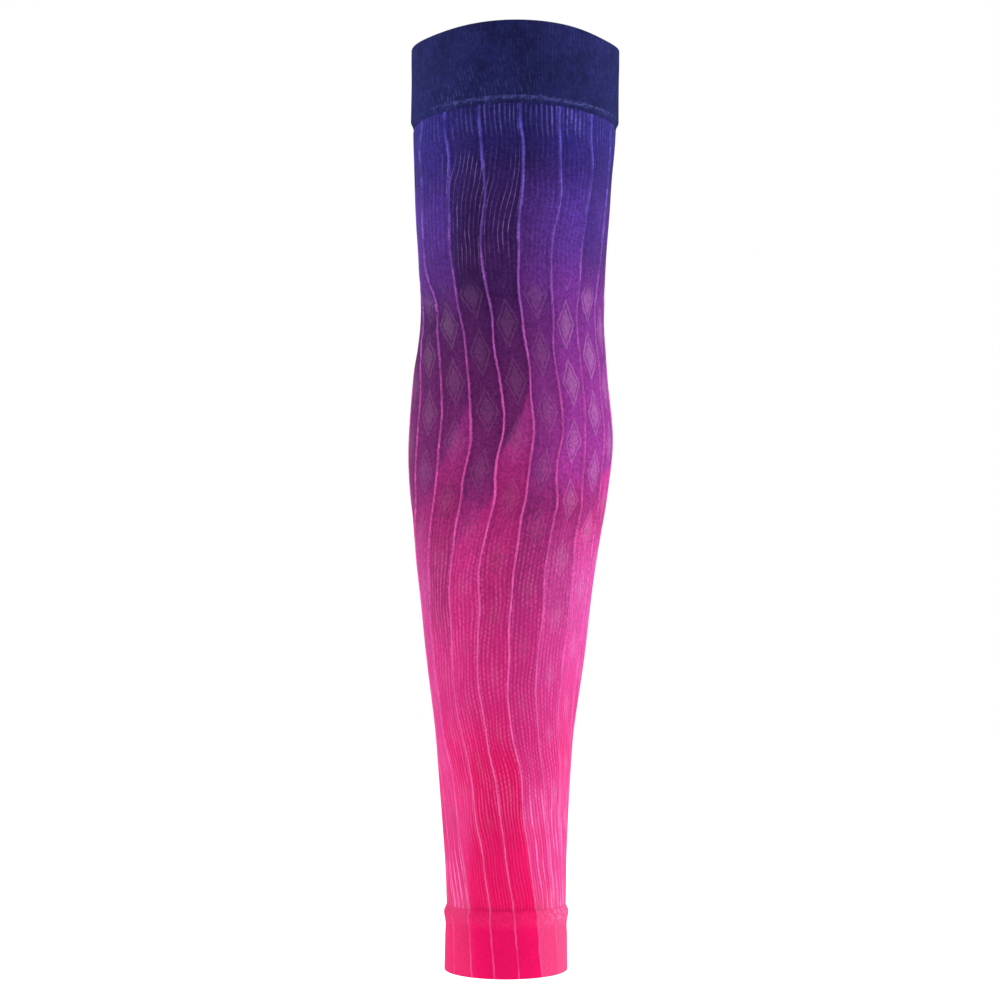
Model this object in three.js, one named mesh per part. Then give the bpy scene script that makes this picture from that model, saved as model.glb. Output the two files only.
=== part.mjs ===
// A knitted compression sleeve for an arm, in the form that it takes when it is worn.
// It is three knitted pieces: a doubled upper cuff, a ribbed tube and a doubled wrist cuff.
// Each cuff's outer layer laps over an end of the tube, where the two are linked.
// Millimetres, +Z up. The origin is the middle of the upper mouth, where the arm goes in.
// The front of the sleeve faces -Y, and every level is given as a distance down from the mouth.
import * as THREE from "three";

// Driving dimensions
const SLEEVE_LENGTH = 420;
const UPPER_CUFF_HEIGHT = 36.5;
const WRIST_CUFF_HEIGHT = 30;
const KNIT_THICKNESS = 1.2; // the tube's wall, without its ribs
const CUFF_LAYER = 1; // the outer layer of a cuff
const LINK_GAP = 0.3; // clearance between a cuff and the tube
const LAP = 6; // how far a cuff's outer layer covers the tube
const WRIST_PROUD = 0.5; // how far the wrist cuff stands out from the tube's line
const RIDGE_PROUD = 1.3; // the same for the linked ridge at its upper edge

const RIB_COUNT = 16;
const RIB_WIDTH = 2.2;
const RIB_HEIGHT = 0.7;
const WRIST_RIB_HEIGHT = 0.35;
const RIB_RISE = 3; // the length over which a rib rises beside a cuff

const TUBE_ROWS = 42; // levels on the outside of the tube
const LINING_ROWS = 16; // levels on its inside
const UPPER_FACE_ROWS = 4; // levels on the face of the upper cuff
const WRIST_FACE_ROWS = 3; // levels on the face of the wrist cuff
const RIDGE_SHARES = [0.35, 0.6, 0.85]; // levels of the linked ridge, as shares of the lap
const FOLD_STEPS = 4; // facets round the turned edge of a cuff

// Levels that follow from them
const TUBE_TOP = UPPER_CUFF_HEIGHT - LAP + LINK_GAP;
const WRIST_CUFF_TOP = SLEEVE_LENGTH - WRIST_CUFF_HEIGHT;
const TUBE_BOTTOM = WRIST_CUFF_TOP + LAP;
const FRONT_RIB = THREE.MathUtils.degToRad(4.5); // the rib nearest to the middle of the front
const LEAN_SIDE = THREE.MathUtils.degToRad(-80); // the side towards which the ribs lean at the elbow

// The outer line of the tube on the arm. depth is the front-to-back size as a share of the width,
// and sideways and back place the middle of the section.
const ARM_FORM = smoothTable([
  { down: 0, halfWidth: 45.8, depth: 1.0, sideways: 2.2, back: 0 },
  { down: 36, halfWidth: 45.7, depth: 1.0, sideways: 1.8, back: 0.5 },
  { down: 70, halfWidth: 44.1, depth: 1.0, sideways: 1.1, back: 1.5 },
  { down: 100, halfWidth: 42.5, depth: 0.99, sideways: 0.8, back: 2.6 },
  { down: 126, halfWidth: 41.8, depth: 0.97, sideways: 0.7, back: 3.4 },
  { down: 150, halfWidth: 44.1, depth: 0.93, sideways: 0.1, back: 3.2 },
  { down: 182, halfWidth: 46.3, depth: 0.89, sideways: 0, back: 2.2 },
  { down: 206, halfWidth: 44.6, depth: 0.88, sideways: -0.9, back: 1.2 },
  { down: 230, halfWidth: 41.4, depth: 0.88, sideways: -1.8, back: 0.2 },
  { down: 275, halfWidth: 36.2, depth: 0.88, sideways: -2.1, back: -1.4 },
  { down: 320, halfWidth: 31, depth: 0.88, sideways: -2.6, back: -2.6 },
  { down: 366, halfWidth: 28.1, depth: 0.88, sideways: -2.1, back: -3.2 },
  { down: 384, halfWidth: 27.5, depth: 0.88, sideways: -2, back: -3.3 },
  { down: 393, halfWidth: 27.1, depth: 0.88, sideways: -2, back: -3.3 },
  { down: 420, halfWidth: 27.6, depth: 0.88, sideways: -2.1, back: -3.4 },
]);

// How far the knit has turned round the arm, in degrees. twist is the same all round,
// and lean gathers the ribs towards the front where the elbow pulls them.
const RIB_COURSE = smoothTable([
  { down: 0, twist: 0, lean: 0 },
  { down: 44, twist: 0, lean: 0 },
  { down: 70, twist: 1, lean: 0.5 },
  { down: 94, twist: -1, lean: 2.5 },
  { down: 116, twist: 1.2, lean: 7 },
  { down: 138, twist: 3.5, lean: 12 },
  { down: 168, twist: 9, lean: 15 },
  { down: 192, twist: 5.5, lean: 14 },
  { down: 218, twist: 4, lean: 8 },
  { down: 243, twist: -1, lean: 3 },
  { down: 285, twist: -3.5, lean: 2 },
  { down: 307, twist: 1.5, lean: 2.5 },
  { down: 330, twist: 9.5, lean: 2 },
  { down: 354, twist: 12.5, lean: 2 },
  { down: 372, twist: 18.5, lean: 1 },
  { down: 388, twist: 25.5, lean: 0 },
  { down: 397, twist: 28, lean: 0 },
  { down: 420, twist: 34, lean: 0 },
]);

// Shallow hollows in the knit beside the elbow. angle is degrees from the front towards +X,
// across and along are the half sizes, round the arm in degrees and down it in millimetres.
const ELBOW_HOLLOWS = [
  { down: 118, angle: -62, depth: 1.6, across: 30, along: 18 },
  { down: 128, angle: 66, depth: 0.9, across: 26, along: 20 },
  { down: 124, angle: 4, depth: 0.8, across: 22, along: 14 },
];

// The columns of the knit round the arm. A rib has two feet and a crest, and a panel has a middle.
const KNIT_COLUMNS = Array.from({ length: RIB_COUNT }, (_, rib) => [
  { course: rib, foot: -1, crest: 0 },
  { course: rib, foot: 0, crest: 1 },
  { course: rib, foot: 1, crest: 0 },
  { course: rib + 0.5, foot: 0, crest: 0 },
]).flat();

// A table as a function of down that reads every other column on a smooth curve through the rows.
function smoothTable(rows) {
  const names = Object.keys(rows[0]).filter((name) => name !== "down");
  const curve = new THREE.CubicInterpolant(
    rows.map((row) => row.down),
    rows.flatMap((row) => names.map((name) => row[name])),
    names.length,
    new Float64Array(names.length),
  );
  return (down) => {
    const values = curve.evaluate(down);
    return Object.fromEntries(names.map((name, i) => [name, values[i]]));
  };
}

// The angle of a rib, or of a panel at a half number, once the knit has turned with the arm.
function turnedAngle(course, down) {
  const { twist, lean } = RIB_COURSE(down);
  const straight = FRONT_RIB + (course * 2 * Math.PI) / RIB_COUNT;
  const turn = twist + lean * Math.cos(straight - LEAN_SIDE);
  return straight + THREE.MathUtils.degToRad(turn);
}

// How deep the hollows beside the elbow are at one place.
function hollowDepth(angle, down) {
  let depth = 0;
  for (const hollow of ELBOW_HOLLOWS) {
    const away = THREE.MathUtils.degToRad(hollow.angle) - angle;
    const turn = THREE.MathUtils.radToDeg(Math.atan2(Math.sin(away), Math.cos(away)));
    const reach = Math.hypot(turn / hollow.across, (down - hollow.down) / hollow.along);
    depth += hollow.depth * (1 - THREE.MathUtils.smoothstep(reach, 0, 1));
  }
  return depth;
}

// A point of a wall. offset is measured outwards from the tube's line, and rib is the rib's height.
function placeOnArm({ down, offset, rib = 0 }, { course, foot, crest }) {
  const { halfWidth, depth, sideways, back } = ARM_FORM(down);
  const angle = turnedAngle(course, down) + (foot * RIB_WIDTH) / 2 / halfWidth;
  const out = offset + rib * crest - hollowDepth(angle, down);
  const x = sideways + (halfWidth + out) * Math.sin(angle);
  const y = back - (halfWidth * depth + out) * Math.cos(angle);
  return [x, y, -down];
}

// A closed wall round the arm. loop runs down the outside of the wall and back up its inside.
function knittedWall(loop) {
  const round = KNIT_COLUMNS.length;
  const positions = loop.flatMap((point) => KNIT_COLUMNS.flatMap((column) => placeOnArm(point, column)));
  const corner = (row, column) => (row % loop.length) * round + (column % round);
  const index = [];
  for (let row = 0; row < loop.length; row += 1) {
    for (let column = 0; column < round; column += 1) {
      const [a, b] = [corner(row, column), corner(row, column + 1)];
      const [c, d] = [corner(row + 1, column), corner(row + 1, column + 1)];
      index.push(a, c, b, b, c, d);
    }
  }
  const geometry = new THREE.BufferGeometry();
  geometry.setAttribute("position", new THREE.Float32BufferAttribute(positions, 3));
  geometry.setIndex(index);
  geometry.computeVertexNormals();
  return geometry;
}

// Levels evenly spaced between two others, both included.
function levels(from, to, count) {
  return Array.from({ length: count }, (_, i) => THREE.MathUtils.lerp(from, to, i / (count - 1)));
}

// The turned edge of a doubled cuff, a half circle from one offset to another at the mouth's level.
function turnedEdge(mouth, from, to, inwards) {
  const radius = Math.abs(to - from) / 2;
  return Array.from({ length: FOLD_STEPS + 1 }, (_, i) => {
    const turn = (i / FOLD_STEPS) * Math.PI;
    return {
      down: mouth + inwards * radius * (1 - Math.sin(turn)),
      offset: (from + to) / 2 + ((from - to) / 2) * Math.cos(turn),
    };
  });
}

function upperCuff() {
  const lining = -KNIT_THICKNESS;
  const face = LINK_GAP + CUFF_LAYER;
  const link = UPPER_CUFF_HEIGHT - LAP; // where the inner layer ends
  const edge = CUFF_LAYER / 2; // the rounding of the outer layer's free edge
  const plain = levels(UPPER_CUFF_HEIGHT / UPPER_FACE_ROWS, UPPER_CUFF_HEIGHT - edge, UPPER_FACE_ROWS);
  return knittedWall([
    ...turnedEdge(0, lining, face, 1),
    ...plain.map((down) => ({ down, offset: face })),
    { down: UPPER_CUFF_HEIGHT, offset: face - edge },
    { down: UPPER_CUFF_HEIGHT, offset: LINK_GAP },
    { down: link, offset: LINK_GAP },
    { down: link, offset: lining },
    { down: link / 2, offset: lining },
  ]);
}

function ribbedTube() {
  const firstRise = UPPER_CUFF_HEIGHT + LINK_GAP;
  const lastRise = WRIST_CUFF_TOP - LINK_GAP;
  const ribbed = levels(firstRise + RIB_RISE, lastRise - RIB_RISE, TUBE_ROWS);
  return knittedWall([
    ...[TUBE_TOP, firstRise].map((down) => ({ down, offset: 0 })),
    ...ribbed.map((down) => ({ down, offset: 0, rib: RIB_HEIGHT })),
    ...[lastRise, TUBE_BOTTOM].map((down) => ({ down, offset: 0 })),
    ...levels(TUBE_BOTTOM, TUBE_TOP, LINING_ROWS).map((down) => ({ down, offset: -KNIT_THICKNESS })),
  ]);
}

function wristCuff() {
  const lining = -KNIT_THICKNESS;
  const link = TUBE_BOTTOM + LINK_GAP; // where the inner layer begins
  const ridge = RIDGE_SHARES.map((share) => WRIST_CUFF_TOP + share * LAP);
  const plain = levels(TUBE_BOTTOM + 2 * RIB_RISE, SLEEVE_LENGTH - RIB_RISE, WRIST_FACE_ROWS);
  return knittedWall([
    { down: WRIST_CUFF_TOP, offset: LINK_GAP },
    { down: WRIST_CUFF_TOP, offset: (LINK_GAP + RIDGE_PROUD) / 2 },
    ...ridge.map((down) => ({ down, offset: RIDGE_PROUD })),
    { down: TUBE_BOTTOM + RIB_RISE, offset: WRIST_PROUD },
    ...plain.map((down) => ({ down, offset: WRIST_PROUD, rib: WRIST_RIB_HEIGHT })),
    ...turnedEdge(SLEEVE_LENGTH, WRIST_PROUD, lining, -1),
    { down: link, offset: lining },
    { down: link, offset: LINK_GAP },
  ]);
}

function knit(name, geometry, color) {
  const material = new THREE.MeshStandardMaterial({ color, roughness: 0.85, metalness: 0 });
  const mesh = new THREE.Mesh(geometry, material);
  mesh.name = name;
  return mesh;
}

const sleeve = new THREE.Group();
sleeve.add(
  knit("upper_cuff", upperCuff(), 0x23265c),
  knit("ribbed_tube", ribbedTube(), 0x8a2a84),
  knit("wrist_cuff", wristCuff(), 0xf0226e),
);

export default sleeve;
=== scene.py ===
import math

import bmesh
import bpy
import numpy as np
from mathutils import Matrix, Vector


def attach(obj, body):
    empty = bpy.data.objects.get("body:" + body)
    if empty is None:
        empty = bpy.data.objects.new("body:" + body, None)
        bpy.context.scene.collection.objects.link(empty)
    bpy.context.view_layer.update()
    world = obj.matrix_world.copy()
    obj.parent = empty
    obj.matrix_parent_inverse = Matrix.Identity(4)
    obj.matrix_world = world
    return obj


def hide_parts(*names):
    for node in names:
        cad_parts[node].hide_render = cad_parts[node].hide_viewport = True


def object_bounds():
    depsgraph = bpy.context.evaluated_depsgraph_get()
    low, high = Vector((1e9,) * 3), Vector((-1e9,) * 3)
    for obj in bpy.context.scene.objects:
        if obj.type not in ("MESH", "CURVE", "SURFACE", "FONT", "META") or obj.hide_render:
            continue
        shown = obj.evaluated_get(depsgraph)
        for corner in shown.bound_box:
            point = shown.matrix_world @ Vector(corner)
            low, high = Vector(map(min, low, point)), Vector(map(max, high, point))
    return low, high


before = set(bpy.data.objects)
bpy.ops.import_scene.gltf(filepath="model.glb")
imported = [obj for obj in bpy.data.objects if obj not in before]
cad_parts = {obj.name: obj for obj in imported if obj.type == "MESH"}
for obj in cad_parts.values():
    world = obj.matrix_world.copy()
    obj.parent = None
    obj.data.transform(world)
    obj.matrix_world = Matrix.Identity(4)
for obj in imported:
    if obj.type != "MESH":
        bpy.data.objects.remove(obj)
cadLow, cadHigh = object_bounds()
print("frame loaded with", ", ".join(sorted(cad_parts)))

mm = 0.001  # tables and reliefs are in millimetres, meshes in metres

# The sleeve's worn form. down is measured from the upper mouth, angles from the front.
sleeve = {
    "outline": {  # depth is front to back as a share of the width
        "down": [0, 36, 70, 100, 126, 150, 182, 206, 230, 275, 320, 366, 384, 393, 420],
        "halfWidth": [46.5, 46.3, 44.6, 42.8, 42.1, 44.2, 46.4, 44.7, 41.4, 36, 30.7, 27.6, 27, 26.7, 27],
        "depth": [1, 1, 1, 0.99, 0.97, 0.93, 0.89, 0.88, 0.88, 0.88, 0.88, 0.88, 0.88, 0.88, 0.88],
        "sideways": [2.5, 2.2, 1.4, 1, 0.9, 0.3, 0.2, -0.7, -1.7, -2.1, -2.6, -2.1, -1.8, -1.8, -1.9],
        "back": [0, 0.5, 1.5, 2.6, 3.4, 3.2, 2.2, 1.2, 0.2, -1.4, -2.6, -3.2, -3.3, -3.3, -3.4],
    },
    "courses": {  # degrees that the knit has turned, all round and towards one side
        "down": [0, 44, 70, 94, 116, 138, 168, 192, 218, 243, 285, 307, 330, 354, 372, 388, 397, 420],
        "twist": [-2, -2, -0.5, -1.5, 0.6, 2.5, 6.8, 5, 4, -1, -3.5, 1.5, 9.5, 12.5, 18.5, 24.5, 26, 30],
        "lean": [0, 0, 0.5, 2.5, 7, 12, 15, 14, 8, 3, 2, 2.5, 2, 2, 1, 0, 0, 0],
    },
    "leanSide": -80,
    "ripples": [  # degrees that the wales stray, in waves whose phase changes round the sleeve
        {"turn": 0.6, "length": 7.3, "aside": 8, "front": 0, "phase": 0},
        {"turn": 0.25, "length": 4.1, "aside": 0, "front": 9, "phase": 0},
        {"turn": 1.5, "length": 16, "aside": 0, "front": 0, "phase": 3.9},
    ],
    "shifts": [  # and where they all swing to one side
        {"turn": -2, "down": 162, "along": 18},
        {"turn": 1.2, "down": 209, "along": 8},
    ],
    "strayFrom": (38, 56),
    "strayTo": (360, 385),
    "slip": {  # at one side, above the elbow
        "turn": -7, "angle": -70, "across": 16, "from": (38, 52), "to": (106, 126),
    },
    "hollows": [  # beside the elbow
        {"down": 118, "angle": -62, "depth": 1.6, "across": 30, "along": 18},
        {"down": 128, "angle": 66, "depth": 0.9, "across": 26, "along": 20},
        {"down": 124, "angle": 4, "depth": 0.8, "across": 22, "along": 14},
    ],
    "lift": 2.3,  # the upper mouth rides up in front
    "liftPower": 3,
    "liftFade": (30, 95),
    "rimDips": [  # and sags at both sides of the front
        {"angle": 60, "across": 24, "depth": 1.6},
        {"angle": -52, "across": 24, "depth": 0.8},
    ],
    "dipEnd": 28,
    "frontRib": 4.5,  # degrees from the front to the nearest rib
    "ribCount": 16,
    "walesPerPanel": 8,  # one of them is the rib
    "ribShare": 0.065,  # of a panel's width
}
waleCount = sleeve["ribCount"] * sleeve["walesPerPanel"]


def smoothRead(table, column, down):
    # a cubic through the rows whose slope at a row is the mean of its two sides
    at = np.array(table["down"], float)
    values = np.array(table[column], float)
    slopes = np.diff(values) / np.diff(at)
    tangents = np.concatenate((slopes[:1], (slopes[:-1] + slopes[1:]) / 2, slopes[-1:]))
    i = np.clip(np.searchsorted(at, down, side="right") - 1, 0, len(at) - 2)
    step = at[i + 1] - at[i]
    p = (down - at[i]) / step
    start = (1 + 2 * p) * (1 - p) ** 2 * values[i] + p * (1 - p) ** 2 * step * tangents[i]
    end = p * p * (3 - 2 * p) * values[i + 1] + p * p * (p - 1) * step * tangents[i + 1]
    return start + end


def ease(value, low, high):
    share = np.clip((value - low) / (high - low), 0, 1)
    return share * share * (3 - 2 * share)


def swell(value, middle, width):
    return np.exp(-(((value - middle) / width) ** 2))


def panelPlace(wale):
    # the rib is narrower than the other wales of its panel
    perPanel, ribShare = sleeve["walesPerPanel"], sleeve["ribShare"]
    panel = np.floor((wale + 0.5) / perPanel)
    inPanel = wale - panel * perPanel
    plain = ribShare / 2 + (inPanel - 0.5) * (1 - ribShare) / (perPanel - 1)
    return panel + np.where(inPanel < 0.5, inPanel * ribShare, plain)


def stray(straight, down):
    # degrees by which the wales leave their courses
    turn = np.zeros_like(straight)
    for ripple in sleeve["ripples"]:
        phase = ripple["aside"] * np.sin(straight) + ripple["front"] * np.cos(straight) + ripple["phase"]
        turn += ripple["turn"] * np.sin(down / ripple["length"] + phase)
    for shift in sleeve["shifts"]:
        turn += shift["turn"] * swell(down, shift["down"], shift["along"])
    turn *= ease(down, *sleeve["strayFrom"]) * (1 - ease(down, *sleeve["strayTo"]))
    slip = sleeve["slip"]
    slipped = ease(down, *slip["from"]) - ease(down, *slip["to"])
    return turn + slip["turn"] * slipped * swell(np.degrees(straight), slip["angle"], slip["across"])


def hollowDepth(angle, down):
    depth = np.zeros_like(angle)
    for hollow in sleeve["hollows"]:
        away = math.radians(hollow["angle"]) - angle
        turn = np.degrees(np.arctan2(np.sin(away), np.cos(away)))
        reach = np.hypot(turn / hollow["across"], (down - hollow["down"]) / hollow["along"])
        depth += hollow["depth"] * (1 - ease(reach, 0, 1))
    return depth


def sleevePoint(wale, down, out):
    # out is measured from the line of the tube's outer face
    outline, courses = sleeve["outline"], sleeve["courses"]
    straight = math.radians(sleeve["frontRib"]) + panelPlace(wale) * 2 * math.pi / sleeve["ribCount"]
    lean = smoothRead(courses, "lean", down) * np.cos(straight - math.radians(sleeve["leanSide"]))
    twist = smoothRead(courses, "twist", down)
    angle = straight + np.radians(twist + lean + stray(straight, down))
    halfWidth = smoothRead(outline, "halfWidth", down)
    halfDepth = halfWidth * smoothRead(outline, "depth", down)
    out = out - hollowDepth(angle, down)
    x = smoothRead(outline, "sideways", down) + (halfWidth + out) * np.sin(angle)
    y = smoothRead(outline, "back", down) - (halfDepth + out) * np.cos(angle)
    lift = sleeve["lift"] * np.clip(np.cos(angle), 0, 1) ** sleeve["liftPower"]
    lift = lift * (1 - ease(down, *sleeve["liftFade"]))
    for dip in sleeve["rimDips"]:
        sag = dip["depth"] * swell(np.degrees(angle), dip["angle"], dip["across"])
        lift = lift - sag * (1 - ease(down, 0, sleeve["dipEnd"]))
    return np.stack((x, y, lift - down), axis=-1) * mm


# Every piece is one closed wall of knit
knit = {
    "unseenShare": 0.25,  # room that an unseen face gets in the map for bakes, beside one that shows
    "weldGap": 0.001,
}


def row(down, out, shows=0.0):
    # shows is how much of the relief a row has
    return {"down": down, "out": out, "shows": shows}


def knitWall(name, wales, rows, relief):
    # the rows go once round the wall's cut edge, and the wales round the sleeve
    rows = rows + rows[:1]
    down = np.array([r["down"] for r in rows], float)
    out = np.array([r["out"] for r in rows], float)
    shows = np.array([r["shows"] for r in rows], float)
    columnWale, rowDown = np.meshgrid(wales, down)
    raised = out[:, None] + shows[:, None] * relief(columnWale, rowDown)
    places = sleevePoint(columnWale, rowDown, raised)

    # the map for bakes gives most of its room to the faces that show
    room = np.where(shows[1:] + shows[:-1] > 0, 1, knit["unseenShare"])
    lengths = np.hypot(np.diff(down), np.diff(out)) * room
    bakeV = np.concatenate(((0,), np.cumsum(lengths))) / lengths.sum()
    bakeU = np.linspace(0, 1, len(wales))

    bm = bmesh.new()
    bmesh.ops.create_grid(bm, x_segments=len(wales) - 1, y_segments=len(rows) - 1, size=0.5)
    knitMap = bm.loops.layers.uv.new("knitMap")
    bakeMap = bm.loops.layers.uv.new("OFBake")
    cells = {}
    for vert in bm.verts:
        i = round((vert.co.y + 0.5) * (len(rows) - 1))
        j = round((vert.co.x + 0.5) * (len(wales) - 1))
        cells[vert] = (i, j)
        vert.co = places[i, j]
    for face in bm.faces:
        face.smooth = True
        for loop in face.loops:
            i, j = cells[loop.vert]
            loop[knitMap].uv = (wales[j], down[i])
            loop[bakeMap].uv = (bakeU[j], bakeV[i])
    bmesh.ops.remove_doubles(bm, verts=bm.verts, dist=knit["weldGap"] * mm)
    bmesh.ops.recalc_face_normals(bm, faces=bm.faces)
    mesh = bpy.data.meshes.new(name)
    bm.to_mesh(mesh)
    bm.free()
    mesh.uv_layers["knitMap"].active_render = True
    piece = bpy.data.objects.new(name, mesh)
    bpy.context.scene.collection.objects.link(piece)
    print(name, "has", len(mesh.polygons), "faces")
    return piece


edgeTurns = np.radians((45, 90, 135))  # steps round a thin edge
foldTurns = np.radians(np.arange(162, 0, -18))  # and round the outside of a fold


def foldedCuff(cuff):
    # one knitted layer folded at the mouth: its face, the face's back, the lining's back and the lining
    way, layer = cuff["way"], cuff["layer"]
    face, lining = cuff["face"], cuff["lining"]
    middle, outer = (face + lining) / 2, (face - lining) / 2
    inner = outer - layer
    bend = way * cuff["fold"]
    start = cuff["mouth"] + bend
    # towards its edge the face thins out and sinks onto the tube
    thin, drop, reach = cuff["edgeLayer"], cuff["edgeDrop"], cuff["edgeReach"]
    lip = cuff["faceEnd"] - way * thin / 2
    bow = lip - way * reach
    backDrop = drop + thin - layer

    def sunk(down):
        return ease(way * (down - bow), 0, reach)

    toBow = np.linspace(start, bow, cuff["faceRows"])
    toLip = np.linspace(bow, lip, cuff["edgeRows"])
    rows = [row(down, face - drop * sunk(down), 1) for down in (*toBow, *toLip[1:])]
    for turn in edgeTurns:
        past = way * thin / 2 * math.sin(turn)
        rows.append(row(lip + past, face - drop - thin / 2 * (1 - math.cos(turn)), 0.5))
    fromLip = np.linspace(lip, bow, cuff["edgeBackRows"])
    fromBow = np.linspace(bow, start, cuff["backRows"])
    rows += [row(down, face - layer - backDrop * sunk(down)) for down in (*fromLip, *fromBow[1:])]
    for turn in edgeTurns:
        rows.append(row(start - bend * inner / outer * math.sin(turn), middle + inner * math.cos(turn)))
    liningDown = np.linspace(start, cuff["liningEnd"], cuff["backRows"])
    rows += [row(down, lining + layer) for down in liningDown]
    rows += [row(down, lining) for down in liningDown[::-1]]
    for turn in foldTurns:
        shows = 0.5 + 0.5 * math.cos(turn)
        rows.append(row(start - bend * math.sin(turn), middle + outer * math.cos(turn), shows))
    return rows


def fromRib(wale):
    return np.abs(wale - sleeve["walesPerPanel"] * np.round(wale / sleeve["walesPerPanel"]))


def waleCrest(wale):
    return np.cos(math.pi * wale) ** 2


def stitchCrest(wale):
    # two stitches to a wale
    return 0.5 + 0.5 * np.cos(4 * math.pi * wale)


def roundTurn(wale):
    return wale * 2 * math.pi / waleCount


def softWaves(wale, down, waves):
    # the cloth swells and sinks in two sets of waves that slant opposite ways
    rising = np.sin(waves["rising"] * roundTurn(wale) + down / waves["risingLength"])
    falling = np.sin(waves["falling"] * roundTurn(wale) - down / waves["fallingLength"])
    return waves["height"] * rising * falling


def ribbedWales():
    # eight columns across a rib and four across a plain wale, with the closing line at the back
    perPanel = sleeve["walesPerPanel"]
    inPanel = np.concatenate((np.arange(-0.5, 0.5, 1 / 8), np.arange(0.5, perPanel - 0.5, 1 / 4)))
    half = sleeve["ribCount"] // 2
    panels = [inPanel + perPanel * panel for panel in range(-half, half)]
    return np.concatenate(panels + [[perPanel * half - 0.5]])


# Upper cuff: plain fine knit, doubled, with a raised seam along its lower edge
upperCuff = {
    "mouth": 0,
    "way": 1,
    "face": 1.3,
    "lining": -1.2,
    "fold": 0.7,
    "layer": 1.0,
    "faceEnd": 36.5,
    "liningEnd": 30.5,
    "faceRows": 28,
    "edgeRows": 12,
    "edgeBackRows": 5,
    "backRows": 4,
    "edgeLayer": 0.22,
    "edgeDrop": 1.0,
    "edgeReach": 4.5,
    "stitchRelief": 0.07,
    "seam": 33.9,
    "seamWidth": 1.1,
    "seamHeight": 0.35,
    "seamBase": 0.8,  # shares of its height between the stitches, and added on them
    "seamStitch": 0.3,
    "waves": {"height": 0.18, "rising": 6, "risingLength": 9, "falling": 2, "fallingLength": 17},
    "wavesFrom": (4, 14),
    "columns": 1024,
    "flat": (0.25, 0.067),
}


def upperCuffRelief(wale, down):
    stitch = stitchCrest(wale)
    seam = upperCuff["seamHeight"] * swell(down, upperCuff["seam"], upperCuff["seamWidth"])
    seam = seam * (upperCuff["seamBase"] + upperCuff["seamStitch"] * stitch)
    soft = softWaves(wale, down, upperCuff["waves"]) * ease(down, *upperCuff["wavesFrom"])
    return upperCuff["stitchRelief"] * stitch + seam + soft


cuffWales = np.linspace(-waleCount / 2, waleCount / 2, upperCuff["columns"] + 1) - 0.5
upperCuffPiece = knitWall("upperCuff", cuffWales, foldedCuff(upperCuff), upperCuffRelief)

# Ribbed tube: sixteen ribs with seven fine wales between each two
ribbedTube = {
    "rows": [  # from, to and how many: closer at the cuffs' edges and beside the elbow
        (30.8, 36, 4),
        (36.8, 41.5, 6),
        (43.5, 108, 26),
        (109.2, 142, 28),
        (144, 384.5, 84),
        (385.5, 392.5, 9),
        (393.5, 396, 3),
    ],
    "liningRows": 10,
    "thickness": 1.2,
    "upperEdge": 36.5,  # of the cuffs that cover its ends
    "wristEdge": 390.5,
    "ribHeight": 0.5,
    "wristRib": 0.4,  # share of that height left at the wrist
    "wristRibFrom": (290, 350),
    "ribLead": 0.5,  # the ribs rise from under one cuff and sink under the other
    "ribRise": 2,
    "ribFall": 3,
    "ribGroove": 0.05,
    "grooveAt": 0.8,  # wales from the rib's middle
    "grooveWidth": 0.35,
    "waleHeight": 0.08,
    "streaks": {"panel": -1.3, "across": 0.8, "down": 75, "along": 35, "more": 1.2},
    "forearmMore": 0.8,  # the wales are higher by this share on the forearm
    "forearmFrom": (235, 290),
    "gatherHeight": 0.28,  # they stand out where a cuff gathers them
    "upperGather": 6,
    "wristGather": 9,
    "wristGatherShare": 0.4,
    "waves": {"height": 0.22, "rising": 8, "risingLength": 13, "falling": 2, "fallingLength": 21},
    "wavesFrom": (44, 60),
    "wavesTo": (375, 388),
    "creases": [  # beside the elbow: panel, level, slant in mm a panel, width and depth
        {"panel": -3.35, "down": 117, "slant": 14, "reach": 0.7, "width": 2.2, "depth": 0.5},
        {"panel": -3.45, "down": 126, "slant": -10, "reach": 0.6, "width": 2.4, "depth": 0.55},
        {"panel": -3.4, "down": 134, "slant": -16, "reach": 0.6, "width": 2.2, "depth": 0.45},
        {"panel": 3.3, "down": 121, "slant": -12, "reach": 0.6, "width": 3, "depth": 0.35},
    ],
    "creaseLip": 0.6,  # share of its depth by which the cloth swells below a crease
    "lipBelow": 4,
    "tuck": {"depth": 0.25, "above": 1.6, "along": 1.2, "panel": -1.3, "across": 1.9},  # at the wrist cuff
    "flat": (0.25, 0.36),
    "flatArea": 0.0702,
}


def tubeRibs(wale, down):
    upper, wrist = ribbedTube["upperEdge"], ribbedTube["wristEdge"]
    away = fromRib(wale)
    onRib = away < 0.5
    lost = (1 - ribbedTube["wristRib"]) * ease(down, *ribbedTube["wristRibFrom"])
    rib = np.where(onRib, ribbedTube["ribHeight"] * (1 - lost) * waleCrest(wale), 0)
    rib = rib - ribbedTube["ribGroove"] * swell(away, ribbedTube["grooveAt"], ribbedTube["grooveWidth"])
    gather = swell(down, upper, ribbedTube["upperGather"])
    gather = gather + ribbedTube["wristGatherShare"] * swell(down, wrist, ribbedTube["wristGather"])
    streaks = ribbedTube["streaks"]
    more = streaks["more"] * swell(panelPlace(wale), streaks["panel"], streaks["across"])
    more = more * swell(down, streaks["down"], streaks["along"])
    more = more + ribbedTube["forearmMore"] * ease(down, *ribbedTube["forearmFrom"])
    fine = ribbedTube["waleHeight"] * (1 + more) + ribbedTube["gatherHeight"] * gather
    fine = np.where(onRib, 0, fine * waleCrest(wale))
    shown = ease(down, upper - ribbedTube["ribLead"], upper + ribbedTube["ribRise"])
    return (rib + fine) * shown * (1 - ease(down, wrist, wrist + ribbedTube["ribFall"]))


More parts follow.
